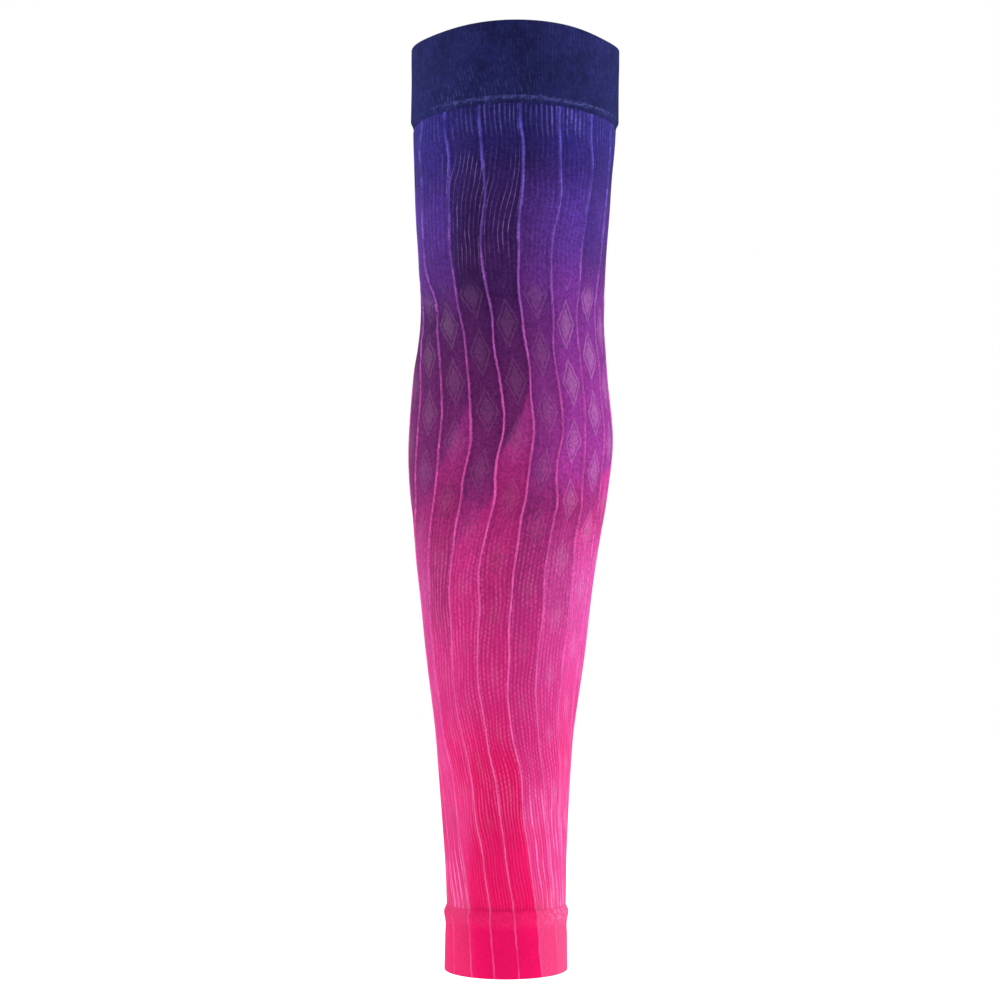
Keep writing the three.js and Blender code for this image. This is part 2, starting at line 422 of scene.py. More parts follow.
def tubeRelief(wale, down):
    panel = panelPlace(wale)
    soft = softWaves(wale, down, ribbedTube["waves"])
    for crease in ribbedTube["creases"]:
        along = panel - crease["panel"]
        line = down - crease["down"] - crease["slant"] * along
        lip = ribbedTube["creaseLip"] * swell(line, ribbedTube["lipBelow"], crease["width"])
        fold = lip - swell(line, 0, crease["width"])
        soft = soft + crease["depth"] * fold * swell(along, 0, crease["reach"])
    soft = soft * ease(down, *ribbedTube["wavesFrom"]) * (1 - ease(down, *ribbedTube["wavesTo"]))
    tuck = ribbedTube["tuck"]
    tucked = swell(down, ribbedTube["wristEdge"] - tuck["above"], tuck["along"])
    tucked = tucked * swell(panel, tuck["panel"], tuck["across"])
    return tubeRibs(wale, down) + soft - tuck["depth"] * tucked


def tubeRows():
    face = np.concatenate([np.linspace(*span) for span in ribbedTube["rows"]])
    lining = np.linspace(face[-1], face[0], ribbedTube["liningRows"])
    return [row(down, 0, 1) for down in face] + [row(down, -ribbedTube["thickness"]) for down in lining]


tubePiece = knitWall("ribbedTube", ribbedWales(), tubeRows(), tubeRelief)

# Wrist cuff: plain doubled knit below a puckered seam ridge
wristCuff = {
    "mouth": 420,
    "way": -1,
    "face": 0.9,
    "lining": -1.2,
    "fold": 0.5,
    "layer": 0.6,
    "faceEnd": 390,
    "liningEnd": 396.3,
    "faceRows": 40,
    "edgeRows": 10,
    "edgeBackRows": 5,
    "backRows": 4,
    "edgeLayer": 0.1,
    "edgeDrop": 0.75,
    "edgeReach": 3.2,
    "ribHeight": 0.12,
    "ribFade": (412, 419),
    "stitchRelief": 0.03,
    "ridge": 394,
    "ridgeWidth": 2.6,
    "ridgeHeight": 0.5,
    "puckers": {"share": 0.2, "many": 14, "few": 6, "fewPhase": 1, "eachWale": 0.14},
    "groove": 400,
    "grooveWidth": 2.4,
    "grooveDepth": 0.15,
    "flat": (0.14, 0.052),
}


def wristCuffRelief(wale, down):
    rib = np.where(fromRib(wale) < 0.5, wristCuff["ribHeight"] * waleCrest(wale), 0)
    rib = rib * (1 - ease(down, *wristCuff["ribFade"]))
    puckers = wristCuff["puckers"]
    pucker = np.sin(puckers["many"] * roundTurn(wale))
    pucker = pucker * np.sin(puckers["few"] * roundTurn(wale) + puckers["fewPhase"])
    pucker = 1 + puckers["share"] * pucker + puckers["eachWale"] * np.cos(2 * math.pi * wale)
    ridge = wristCuff["ridgeHeight"] * swell(down, wristCuff["ridge"], wristCuff["ridgeWidth"])
    groove = wristCuff["grooveDepth"] * swell(down, wristCuff["groove"], wristCuff["grooveWidth"])
    return rib + ridge * pucker - groove + wristCuff["stitchRelief"] * stitchCrest(wale)


wristPiece = knitWall("wristCuff", ribbedWales(), foldedCuff(wristCuff), wristCuffRelief)


# Shader helpers
def dye(red, green, blue):
    # a colour as a screen shows it, made linear
    shares = [channel / 255 for channel in (red, green, blue)]
    linear = [c / 12.92 if c <= 0.04045 else ((c + 0.055) / 1.055) ** 2.4 for c in shares]
    return (*linear, 1)


def add(tree, kind, **settings):
    node = tree.nodes.new(kind)
    for key, value in settings.items():
        setattr(node, key, value)
    return node


def plug(tree, socket, source):
    if isinstance(source, bpy.types.NodeSocket):
        tree.links.new(source, socket)
    else:
        socket.default_value = source


def calc(tree, operation, first, second=0.0, third=0.0):
    node = add(tree, "ShaderNodeMath", operation=operation)
    for socket, source in zip(node.inputs, (first, second, third)):
        plug(tree, socket, source)
    return node.outputs[0]


def times(tree, first, *others):
    for other in others:
        first = calc(tree, "MULTIPLY", first, other)
    return first


def largest(tree, first, *others):
    for other in others:
        first = calc(tree, "MAXIMUM", first, other)
    return first


def awayFrom(tree, value, middle):
    return calc(tree, "ABSOLUTE", calc(tree, "SUBTRACT", value, middle))


def swayed(tree, noise, size, middle):
    # the noise moves a value to both sides of its middle
    return calc(tree, "MULTIPLY_ADD", calc(tree, "SUBTRACT", noise, 0.5), size, middle)


def spread(tree, value, low, high, toLow=0.0, toHigh=1.0):
    # a soft step from one value to another
    node = add(tree, "ShaderNodeMapRange", interpolation_type="SMOOTHSTEP")
    for socket, source in zip(node.inputs, (value, low, high, toLow, toHigh)):
        plug(tree, socket, source)
    return node.outputs["Result"]


def steps(tree, finish, **values):
    # the product of soft steps that a finish lists, each with the value that it reads
    return times(tree, *(spread(tree, value, *finish["steps"][name]) for name, value in values.items()))


def blend(tree, share, first, second, way="MIX"):
    node = add(tree, "ShaderNodeMix", data_type="RGBA", blend_type=way)
    for socket, source in zip((node.inputs[0], node.inputs[6], node.inputs[7]), (share, first, second)):
        plug(tree, socket, source)
    return node.outputs[2]


def between(tree, share, first, second):
    node = add(tree, "ShaderNodeMix", data_type="FLOAT")
    for socket, source in zip((node.inputs[0], node.inputs[2], node.inputs[3]), (share, first, second)):
        plug(tree, socket, source)
    return node.outputs[0]


def shaded(tree, colour, factor):
    grey = add(tree, "ShaderNodeCombineColor")
    for socket in grey.inputs:
        plug(tree, socket, factor)
    return blend(tree, 1, colour, grey.outputs[0], "MULTIPLY")


def ramp(tree, value, stops, interpolation="LINEAR"):
    node = add(tree, "ShaderNodeValToRGB")
    bar = node.color_ramp
    bar.interpolation = interpolation
    while len(bar.elements) < len(stops):
        bar.elements.new(1)
    for element, (place, colour) in zip(bar.elements, stops):
        element.position = place
        element.color = colour
    plug(tree, node.inputs["Fac"], value)
    return node.outputs["Color"]


def pair(tree, first, second):
    node = add(tree, "ShaderNodeCombineXYZ")
    plug(tree, node.inputs["X"], first)
    plug(tree, node.inputs["Y"], second)
    return node.outputs["Vector"]


def cloud(tree, vector, scale, detail=2.0, dimensions="3D"):
    node = add(tree, "ShaderNodeTexNoise", noise_dimensions=dimensions)
    for label, source in (("Vector", vector), ("Scale", scale), ("Detail", detail)):
        plug(tree, node.inputs[label], source)
    return node.outputs["Fac"]


def clothCloud(tree, scale, detail=2.0):
    return cloud(tree, add(tree, "ShaderNodeTexCoord").outputs["Object"], scale, detail)


def yarnCloud(tree, finish, name, across, down):
    # patches that a finish lists: how unlike neighbours are, how long a patch is, and its detail
    apart, length, detail = finish["clouds"][name]
    place = pair(tree, times(tree, across, apart), calc(tree, "DIVIDE", down, length))
    return cloud(tree, place, 1, detail, "2D")


def crestOf(tree, column):
    # 1 along the middle of each column and 0 between two
    return times(tree, calc(tree, "PINGPONG", calc(tree, "ADD", column, 0.5), 0.5), 2)


def newGroup(name, inputs, outputs):
    tree = bpy.data.node_groups.new(name, "ShaderNodeTree")
    for label in inputs:
        tree.interface.new_socket(label, in_out="INPUT", socket_type="NodeSocketFloat")
    for label, kind in outputs.items():
        tree.interface.new_socket(label, in_out="OUTPUT", socket_type=kind)
    return tree, add(tree, "NodeGroupInput").outputs, add(tree, "NodeGroupOutput").inputs


def useGroup(tree, group, **inputs):
    node = add(tree, "ShaderNodeGroup", node_tree=group)
    for label, source in inputs.items():
        plug(tree, node.inputs[label], source)
    return node.outputs


def knitPlace(tree):
    # wale and level of a point, from the knit's own map
    split = add(tree, "ShaderNodeSeparateXYZ")
    plug(tree, split.inputs[0], add(tree, "ShaderNodeUVMap", uv_map="knitMap").outputs["UV"])
    return split.outputs["X"], split.outputs["Y"]


def folded(tree, wale):
    # the wale in front that one at the back mirrors
    quarter = waleCount / 4
    fromSide = calc(tree, "PINGPONG", calc(tree, "ADD", wale, quarter), 2 * quarter)
    return calc(tree, "SUBTRACT", fromSide, quarter)


# Loops of plain knitting: two slanted legs to a stitch, and a tone of its own for each
knitLoop = {
    "slant": 0.7,  # courses that a leg leans by
    "arch": 0.6,  # share of its height that a leg loses at its ends
    "usualHeight": 0.4,  # the height at which the yarn has its plain colour
}


def stitchGroup():
    outputs = {"Height": "NodeSocketFloat", "Tone": "NodeSocketFloat"}
    tree, given, made = newGroup("knitStitches", ("Wale", "Course"), outputs)
    side = times(tree, awayFrom(tree, calc(tree, "FRACT", given["Wale"]), 0.5), 2)
    legs = times(tree, side, calc(tree, "SUBTRACT", 1, side), 4)
    slanted = calc(tree, "MULTIPLY_ADD", side, knitLoop["slant"], given["Course"])
    arch = calc(tree, "SINE", times(tree, calc(tree, "FRACT", slanted), math.pi))
    arch = calc(tree, "MULTIPLY_ADD", arch, knitLoop["arch"], 1 - knitLoop["arch"])
    plug(tree, made["Height"], times(tree, legs, arch))
    noise = add(tree, "ShaderNodeTexWhiteNoise", noise_dimensions="2D")
    stitch = pair(tree, calc(tree, "FLOOR", given["Wale"]), calc(tree, "FLOOR", slanted))
    plug(tree, noise.inputs["Vector"], stitch)
    plug(tree, made["Tone"], noise.outputs["Value"])
    return tree


# The dye runs down the sleeve, and each panel takes it a little differently
dipDye = {
    "length": 420,
    "cloth": [  # level, then red, green and blue as a screen shows them
        (46, 36, 32, 98), (58, 44, 28, 91), (115, 64, 27, 86), (200, 118, 36, 102), (214, 146, 38, 109),
        (260, 180, 40, 116), (320, 197, 36, 112), (350, 209, 18, 93), (420, 229, 13, 95),
    ],
    "ribs": [
        (36, 86, 79, 192), (75, 116, 90, 194), (115, 166, 92, 192), (155, 200, 88, 180), (200, 224, 88, 174),
        (320, 246, 110, 182), (365, 252, 124, 188), (420, 250, 108, 174),
    ],
    "panels": {  # the eight in front, from left to right; the back is their mirror image
        "elbow": [1.7, 1.4, 0.7, 0.9, 1.8, 2, 1.4, 1.4],
        "forearm": [0.9, 0.7, 1, 0.9, 0.9, 0.9, 1, 1],
        "slope": [0, 0.15, 0, 0, 0.25, 0.1, 0.15, 0],
        "flame": [8, 34, 26, 34, 8, 10, 15, 6],
        "edge": [206, 178, 217, 173, 206, 200, 213, 192],
        "jump": [6, 18, 25, 26, -2, 4, 30, 30],
    },
    "panelRange": 500,  # of all the values above
    "topTone": 0.9,  # above the elbow's own tones, and below the forearm's
    "lowTone": 1.05,
    "cloudScale": 45,
    "cloudDetail": 3,
    "cloudShift": 22,
    "cloudTone": 0.25,
    "edgeLead": -2,
    "blueMiddle": -4,
    # the pale tint that the sides take below is painted sheen
    "ribPale": 1.3,  # the ribs take more of the pale tint than the cloth
    "paleTint": dye(240, 120, 218),
    "wristTint": dye(240, 146, 204),
    "blue": dye(58, 45, 150),
    "wedge": dye(172, 52, 140),
    "violet": dye(170, 60, 185),
    "steps": {  # from and to, in mm down or in wales, then the values before and after
        "edgeSoft": (29, 36, 5, 30),
        "wedgeJump": (10, 24, 0, 0.5),
        "wedgeEnd": (174, 200, 1, 0),
        "elbow": (58, 82),
        "crook": (106, 130),
        "crookTone": (-8, 12, 0.9, 1.5),
        "forearm": (190, 215),
        "lowForearm": (245, 295),
        "wrist": (325, 355),
        "wristLeft": (-28, -20, 0.9, 1),
        "wristRight": (4, 20, 1, 0.85),
        "slopeEnd": (180, 205, 1, 0),
        "blueFrom": (7, 15),
        "blueTo": (26, 36, 1, 0),
        "blueEnd": (80, 130, 0.22, 0),
        "violetFrom": (95, 122),
        "violetEnd": (180, 215, 1, 0),
        "violetSide": (-4, 16, 0, 0.2),
        # where the painted sheen pales the sides
        "paleFrom": (204, 250),
        "paleLeft": (-28, -16, 0.08, 0),
        "paleRight": (4, 20, 0, 0.23),
        "paleRightFade": (250, 300, 1, 0.6),
        "wristPale": (318, 352),
        "wristTurn": (340, 385, 0, 7),
        "wristPaleLeft": (-19, -14, 0.12, 0),
        "wristPaleRight": (-4, 8, 0, 0.21),
        "cuff": (388, 396),
        "cuffPale": (-20, -4, 0.5, 1),
        "tintChange": (370, 394),
    },
}


def panelValues(tree, panel, *columns):
    # three values of each panel, held in the channels of a stepped ramp
    count, reach = sleeve["ribCount"] // 2, dipDye["panelRange"]
    stops = []
    for i, values in enumerate(zip(*(dipDye["panels"][column] for column in columns))):
        stops.append((i / count, (*(0.5 + value / reach for value in values), 1)))
    place = calc(tree, "DIVIDE", calc(tree, "ADD", panel, count / 2 + 0.5), count)
    split = add(tree, "ShaderNodeSeparateColor")
    plug(tree, split.inputs[0], ramp(tree, place, stops, "CONSTANT"))
    return [calc(tree, "MULTIPLY_ADD", split.outputs[i], reach, -reach / 2) for i in range(len(columns))]


def dyeRamp(tree, level, colours):
    stops = [(at / dipDye["length"], dye(*colour)) for at, *colour in colours]
    return ramp(tree, calc(tree, "DIVIDE", level, dipDye["length"]), stops)


def paleShare(tree, front, middle, down):
    # painted sheen: the sides are paler towards the wrist
    right = steps(tree, dipDye, paleRight=middle, paleRightFade=down)
    pale = largest(tree, steps(tree, dipDye, paleLeft=middle), right)
    pale = times(tree, pale, steps(tree, dipDye, paleFrom=down))
    turned = calc(tree, "ADD", front, steps(tree, dipDye, wristTurn=down))
    wristLeft = steps(tree, dipDye, wristPaleLeft=turned)
    wristRight = steps(tree, dipDye, wristPaleRight=middle)
    share = between(tree, steps(tree, dipDye, wristPale=down), pale, largest(tree, wristLeft, wristRight))
    onCuff = between(tree, steps(tree, dipDye, cuff=down), 1, steps(tree, dipDye, cuffPale=front))
    return times(tree, share, onCuff)


def dyeGroup():
    outputs = {"Cloth": "NodeSocketColor", "Rib": "NodeSocketColor"}
    tree, given, made = newGroup("dipDye", ("Wale", "Down"), outputs)
    wale, down = given["Wale"], given["Down"]
    front = folded(tree, wale)
    inPanels = calc(tree, "DIVIDE", front, sleeve["walesPerPanel"])
    panel = calc(tree, "FLOOR", inPanels)
    middle = times(tree, calc(tree, "ADD", panel, 0.5), sleeve["walesPerPanel"])
    aside = calc(tree, "SUBTRACT", calc(tree, "SUBTRACT", inPanels, panel), 0.5)
    elbow, forearm, slope = panelValues(tree, panel, "elbow", "forearm", "slope")
    flame, edge, jump = panelValues(tree, panel, "flame", "edge", "jump")
    clouds = clothCloud(tree, dipDye["cloudScale"], dipDye["cloudDetail"])

    # in each panel the pink starts along a slanted edge
    past = calc(tree, "SUBTRACT", calc(tree, "MULTIPLY_ADD", aside, flame, down), edge)
    soft = steps(tree, dipDye, edgeSoft=calc(tree, "ABSOLUTE", wale))
    started = spread(tree, past, dipDye["edgeLead"], soft)
    mottled = swayed(tree, clouds, dipDye["cloudShift"], down)
    cloth = dyeRamp(tree, calc(tree, "MULTIPLY_ADD", started, jump, mottled), dipDye["cloth"])
    rib = dyeRamp(tree, mottled, dipDye["ribs"])
    wedge = times(tree, started, steps(tree, dipDye, wedgeJump=jump, wedgeEnd=down))
    cloth = blend(tree, wedge, cloth, dipDye["wedge"])

    # the panels' tones change from level to level
    crook = steps(tree, dipDye, crookTone=middle)
    wrist = steps(tree, dipDye, wristLeft=middle, wristRight=middle)
    tone = between(tree, steps(tree, dipDye, elbow=down), dipDye["topTone"], elbow)
    tone = between(tree, steps(tree, dipDye, crook=down), tone, crook)
    tone = between(tree, steps(tree, dipDye, forearm=down), tone, forearm)
    tone = between(tree, steps(tree, dipDye, lowForearm=down), tone, dipDye["lowTone"])
    tone = between(tree, steps(tree, dipDye, wrist=down), tone, wrist)
    slope = times(tree, slope, steps(tree, dipDye, slopeEnd=down))
    tone = times(tree, tone, calc(tree, "MULTIPLY_ADD", aside, slope, 1))
    tone = times(tree, tone, swayed(tree, clouds, dipDye["cloudTone"], 1))
    cloth = shaded(tree, cloth, tone)

    # bluer at both sides of the front above the elbow, and more violet beside it
    fromMiddle = awayFrom(tree, front, dipDye["blueMiddle"])
    blue = steps(tree, dipDye, blueFrom=fromMiddle, blueTo=fromMiddle, blueEnd=down)
    cloth = blend(tree, blue, cloth, dipDye["blue"])
    violet = steps(tree, dipDye, violetFrom=down, violetEnd=down, violetSide=middle)
    cloth = blend(tree, violet, cloth, dipDye["violet"])

    # painted sheen: a pale tint over both sides towards the wrist, with more of it on the ribs
    share = paleShare(tree, front, middle, down)
    tint = blend(tree, steps(tree, dipDye, tintChange=down), dipDye["paleTint"], dipDye["wristTint"])
    plug(tree, made["Cloth"], blend(tree, share, cloth, tint))
    plug(tree, made["Rib"], blend(tree, times(tree, share, dipDye["ribPale"]), rib, tint))
    return tree


knitStitches = stitchGroup()
dipDyed = dyeGroup()


def knitMaterial(name, finish):
    material = bpy.data.materials.new(name)
    material.use_nodes = True
    tree = material.node_tree
    shader = tree.nodes["Principled BSDF"]
    shader.inputs["Roughness"].default_value = finish["roughness"]
    shader.inputs["Specular IOR Level"].default_value = finish["gloss"]
    shader.inputs["Sheen Weight"].default_value = finish["sheen"]
    shader.inputs["Sheen Roughness"].default_value = finish["sheenRoughness"]
    shader.inputs["Sheen Tint"].default_value = finish["sheenTint"]
    wale, down = knitPlace(tree)
    stitches = useGroup(tree, knitStitches, Wale=times(tree, wale, finish["stitchesPerWale"]),
                        Course=calc(tree, "DIVIDE", down, finish["course"]))
    return material, tree, shader, wale, down, stitches


def knitted(tree, colour, stitches, finish, heather):
    # painted shade between the yarns, and each stitch a little lighter or darker
    tone = swayed(tree, stitches["Tone"], heather, 1)
    shade = finish["yarnShade"]
    depth = calc(tree, "MULTIPLY_ADD", stitches["Height"], shade, 1 - shade * knitLoop["usualHeight"])
    return shaded(tree, colour, times(tree, tone, depth))


def raisedStitches(tree, shader, stitches, finish):
    node = add(tree, "ShaderNodeBump")
    plug(tree, node.inputs["Strength"], finish["bumpStrength"])
    plug(tree, node.inputs["Distance"], finish["bump"] * mm)
    plug(tree, node.inputs["Height"], stitches["Height"])
    tree.links.new(node.outputs["Normal"], shader.inputs["Normal"])


# Upper cuff: navy, with fine pale lines, partly a painted highlight on the wale crests, and a painted
# highlight along its seam
navyKnit = {
    "colour": dye(31, 34, 84),
    "deep": dye(26, 28, 72),
    "line": dye(78, 80, 148),
    "seamYarn": dye(92, 94, 168),
    "stitchesPerWale": 1.5,
    "course": 1.1,
    "heather": 0.35,
    "yarnShade": 0.45,
    "bump": 0.16,
    "bumpStrength": 0.7,
    "roughness": 0.85,
    "gloss": 0.03,
    "sheen": 0.03,
    "sheenRoughness": 0.4,
    "sheenTint": dye(180, 180, 255),
    "cloudScale": 60,
    "lineLean": -2.4,  # columns that a line leans by where it slants
    "slantLine": 0.28,
    "seamMiddle": 3,
    "clouds": {"lines": (5.3, 4, 2), "loops": (0.9, 1, 3)},
    "steps": {
        "deepPatches": (0.35, 0.65),
        "slantDown": (14, 34),
        "slantLeft": (-26, -16),
        "slantRight": (-2, 8, 1, 0),
        "lineWidth": (0.3, 0.9),
        "lineBroken": (0.42, 0.7),
        "lineStrength": (2, 30, 0.13, 0.08),
        "seamTop": (32.8, 33.8),
        "seamBottom": (34.2, 35.4, 1, 0),
        "seamSides": (12, 26, 1, 0.12),
        "loops": (0.35, 0.7, 0.05, 0.45),
    },
}


def navyMaterial():
    material, tree, shader, wale, down, stitches = knitMaterial("navyKnit", navyKnit)
    patches = steps(tree, navyKnit, deepPatches=clothCloud(tree, navyKnit["cloudScale"]))
    colour = blend(tree, patches, navyKnit["deep"], navyKnit["colour"])
    # fine broken lines along the wales, partly pale yarn and partly a painted highlight on their crests,
    # which slant beside the seam in front
    slant = steps(tree, navyKnit, slantDown=down, slantLeft=wale, slantRight=wale)
    column = times(tree, wale, navyKnit["stitchesPerWale"])
    column = calc(tree, "MULTIPLY_ADD", slant, navyKnit["lineLean"], column)
    broken = yarnCloud(tree, navyKnit, "lines", calc(tree, "ROUND", column), down)
    strength = steps(tree, navyKnit, lineStrength=down)
    strength = calc(tree, "MULTIPLY_ADD", slant, navyKnit["slantLine"], strength)
    line = steps(tree, navyKnit, lineWidth=crestOf(tree, column), lineBroken=broken)
    colour = blend(tree, times(tree, line, strength), colour, navyKnit["line"])
    # painted highlight on the raised seam, in patches made by its loops in front
    fromMiddle = awayFrom(tree, wale, navyKnit["seamMiddle"])
    loops = yarnCloud(tree, navyKnit, "loops", wale, down)
    seam = steps(tree, navyKnit, seamTop=down, seamBottom=down, seamSides=fromMiddle, loops=loops)
    colour = blend(tree, seam, colour, navyKnit["seamYarn"])
    plug(tree, shader.inputs["Base Color"], knitted(tree, colour, stitches, navyKnit, navyKnit["heather"]))
    raisedStitches(tree, shader, stitches, navyKnit)
    return material


# Ribbed tube: dyed cloth with pale lines along the wales, partly a painted highlight on their crests, faint
# lozenges and bright ribs
tubeKnit = {
    "stitchesPerWale": 2,
    "course": 0.85,
    "yarnShade": 0.35,
    "bump": 0.14,
    "bumpStrength": 0.7,
    "roughness": 0.8,
    "gloss": 0.04,
    "sheen": 0.05,
    "sheenRoughness": 0.4,
    "sheenTint": dye(255, 215, 240),
    "steps": {"heather": (190, 330, 0.5, 0.12)},
}

paleLines = {
    # the lines' colours: partly pale yarn, partly a painted highlight on the wale crests
    "yarn": dye(214, 190, 232),
    "wristYarn": dye(255, 138, 206),
    "clouds": {"weave": (0.11, 22, 1), "dashes": (7.3, 1, 2), "patches": (0.3, 24, 2)},
    "wander": 1.1,  # wales that a line wanders by, and leans by where it slants
    "lean": -2.2,
    "front": 2,
    "streakMiddle": -9,
    "wristMiddle": -11.5,
    "firstLine": 0.1,  # at the wrist's sides every second line is the stronger one
    "secondLine": 0.7,
    "beadLength": 2.3,
    "beadSway": 12,
    "sideWiden": -0.25,
    "gatherWiden": -0.27,  # gathered lines are wider, less pale and less broken
    "gatherPale": -0.22,
    "gatherDash": 0.45,
    "grooveWidth": 0.6,
    "steps": {
        "slantEnd": (50, 82, 1, 0),
        "slantLeft": (-18, -13),
        "slantRight": (-3, 2, 1, 0),
        "gather": (44, 53, 1, 0),
        "gatherSides": (8, 20, 0.42, 0.12),
        "streakSides": (5, 12, 0.38, 0.13),
        "streakFrom": (50, 60),
        "streakEnd": (90, 114, 1, 0),
        "forearmFrom": (200, 250, 0, 0.32),
        "forearmEnd": (335, 365, 1, 0.25),
        "wristLag": (-12, 4, -10, 18),
        "wristFrom": (335, 365),
        "wristSides": (10.5, 15),
        "dashLength": (110, 180, 8, 16),
        "dashes": (0.38, 0.6, 0.3, 1),
        "patches": (0.4, 0.58, 0.35, 1),
        "patchesEnd": (180, 220),
        "beadsFrom": (190, 230),
        "beadsEnd": (325, 350, 0.32, 0.04),
        "beadSides": (8, 20, 1, 0.35),
        "upperBeads": (100, 130, 0.1, 0.06),
        "thin": (180, 230, 0.72, 0.28),
        "paleYarn": (90, 180, 0.45, 0.15),
        "groove": (200, 260, 0.95, 0.9),
    },
}


def brokenLines(tree, wale, down, yarn, weave, gather):
    # dashes of each yarn, larger patches, and small beads set off from line to line
    inDashes = calc(tree, "DIVIDE", down, steps(tree, paleLines, dashLength=down))
    dashes = steps(tree, paleLines, dashes=yarnCloud(tree, paleLines, "dashes", yarn, inDashes))
    dashes = largest(tree, dashes, times(tree, gather, paleLines["gatherDash"]))
    patches = yarnCloud(tree, paleLines, "patches", wale, down)
    patches = largest(tree, steps(tree, paleLines, patches=patches), steps(tree, paleLines, patchesEnd=down))
    offset = calc(tree, "MULTIPLY_ADD", yarn, math.pi, times(tree, weave, paleLines["beadSway"]))
    beads = calc(tree, "MULTIPLY_ADD", down, 2 * math.pi / paleLines["beadLength"], offset)
    beads = calc(tree, "SUBTRACT", calc(tree, "SINE", beads), 1)
    fromFront = awayFrom(tree, wale, paleLines["front"])
    depth = steps(tree, paleLines, beadsFrom=down, beadsEnd=down, beadSides=fromFront)
    depth = calc(tree, "ADD", depth, steps(tree, paleLines, upperBeads=down))
    return times(tree, dashes, patches, calc(tree, "MULTIPLY_ADD", beads, depth, 1))


def waleLines(tree, wale, down, dyed):
    # the fine wales wander, and slant in front below the upper cuff
    weave = yarnCloud(tree, paleLines, "weave", wale, down)
    slant = steps(tree, paleLines, slantEnd=down, slantLeft=wale, slantRight=wale)
    column = calc(tree, "MULTIPLY_ADD", slant, paleLines["lean"], wale)
    column = swayed(tree, weave, paleLines["wander"], column)
    crest = crestOf(tree, column)
    yarn = calc(tree, "ROUND", column)

    # they are pale along their crests, partly pale yarn and partly a painted highlight on the crests:
    # gathered below the upper cuff, in streaks at the front of the upper arm, all over the forearm and at
    # both sides of the wrist
    gather = steps(tree, paleLines, gather=down)
    fromFront = awayFrom(tree, wale, paleLines["front"])
    gathered = times(tree, steps(tree, paleLines, gatherSides=fromFront), gather)
    fromStreaks = awayFrom(tree, wale, paleLines["streakMiddle"])
    streaks = steps(tree, paleLines, streakSides=fromStreaks, streakFrom=down, streakEnd=down)
    forearm = steps(tree, paleLines, forearmFrom=down, forearmEnd=down)
    fromWrist = awayFrom(tree, folded(tree, wale), paleLines["wristMiddle"])
    lagged = calc(tree, "ADD", down, steps(tree, paleLines, wristLag=wale))
    aside = steps(tree, paleLines, wristSides=fromWrist, wristFrom=lagged)
    second = calc(tree, "FLOORED_MODULO", yarn, 2)
    second = calc(tree, "MULTIPLY_ADD", second, paleLines["secondLine"], paleLines["firstLine"])
    strength = largest(tree, streaks, gathered, forearm, times(tree, aside, second))

    thin = calc(tree, "MULTIPLY_ADD", aside, paleLines["sideWiden"], steps(tree, paleLines, thin=down))
    thin = calc(tree, "MULTIPLY_ADD", gather, paleLines["gatherWiden"], thin)
    broken = brokenLines(tree, wale, down, yarn, weave, gather)
    line = times(tree, spread(tree, crest, thin, 1), strength, broken)
    paleYarn = steps(tree, paleLines, paleYarn=down)
    paleYarn = calc(tree, "MULTIPLY_ADD", gather, paleLines["gatherPale"], paleYarn)
    lineTint = blend(tree, paleYarn, dyed["Rib"], paleLines["yarn"])
    lineTint = blend(tree, aside, lineTint, paleLines["wristYarn"])
    colour = blend(tree, line, dyed["Cloth"], lineTint)
    # painted shade in the grooves between the wales, deeper on the forearm
    groove = spread(tree, crest, 0, paleLines["grooveWidth"], steps(tree, paleLines, groove=down), 1)
    return shaded(tree, colour, groove)


lozenges = {  # a half-drop field of tonal lozenges that shrink towards the wrist
    "film": dye(132, 76, 122),
    "forearmFilm": dye(142, 34, 88),
    # towards the right side the film is paler and stronger: a painted reflection
    "lightFilm": dye(206, 140, 192),
    "share": 0.1,
    "lightShare": 1.6,
    "lightMiddle": 22,
    "repeat": 26,
    "stretch": 0.8,
    "coat": 0.25,
    "coatRoughness": 0.45,
    "steps": {
        "size": (110, 360, 0.36, 0.2),
        "core": (0.6, 0.68, 1, 0),
        "rimInside": (0.76, 0.84),
        "rimOutside": (0.94, 1.02, 1, 0),
        "fieldFrom": (108, 118),
        "fieldEnd": (350, 366, 1, 0),
        "light": (6, 22, 1, 0),
        "forearm": (190, 240),
        "forearmFade": (190, 240, 1, 0.7),
    },
}


def lozengeFilm(tree, wale, down, colour):
    panel = calc(tree, "DIVIDE", wale, sleeve["walesPerPanel"])
    across = awayFrom(tree, calc(tree, "FRACT", panel), 0.5)
    drop = times(tree, calc(tree, "FLOORED_MODULO", calc(tree, "FLOOR", panel), 2), 0.5)
    along = calc(tree, "ADD", calc(tree, "DIVIDE", down, lozenges["repeat"]), drop)
    along = awayFrom(tree, calc(tree, "FRACT", along), 0.5)
    reach = calc(tree, "MULTIPLY_ADD", along, lozenges["stretch"], across)
    reach = calc(tree, "DIVIDE", reach, steps(tree, lozenges, size=down))
    rim = steps(tree, lozenges, rimInside=reach, rimOutside=reach)
    film = largest(tree, steps(tree, lozenges, core=reach), rim)
    film = times(tree, film, steps(tree, lozenges, fieldFrom=down, fieldEnd=down))
    # painted reflection: the film is paler and stronger to the right of the front
    light = steps(tree, lozenges, light=awayFrom(tree, wale, lozenges["lightMiddle"]))
    tint = blend(tree, steps(tree, lozenges, forearm=down), lozenges["film"], lozenges["forearmFilm"])
    tint = blend(tree, light, tint, lozenges["lightFilm"])
    share = times(tree, between(tree, light, 1, lozenges["lightShare"]), lozenges["share"])
    share = times(tree, share, steps(tree, lozenges, forearmFade=down))
    return blend(tree, times(tree, film, share), colour, tint), film


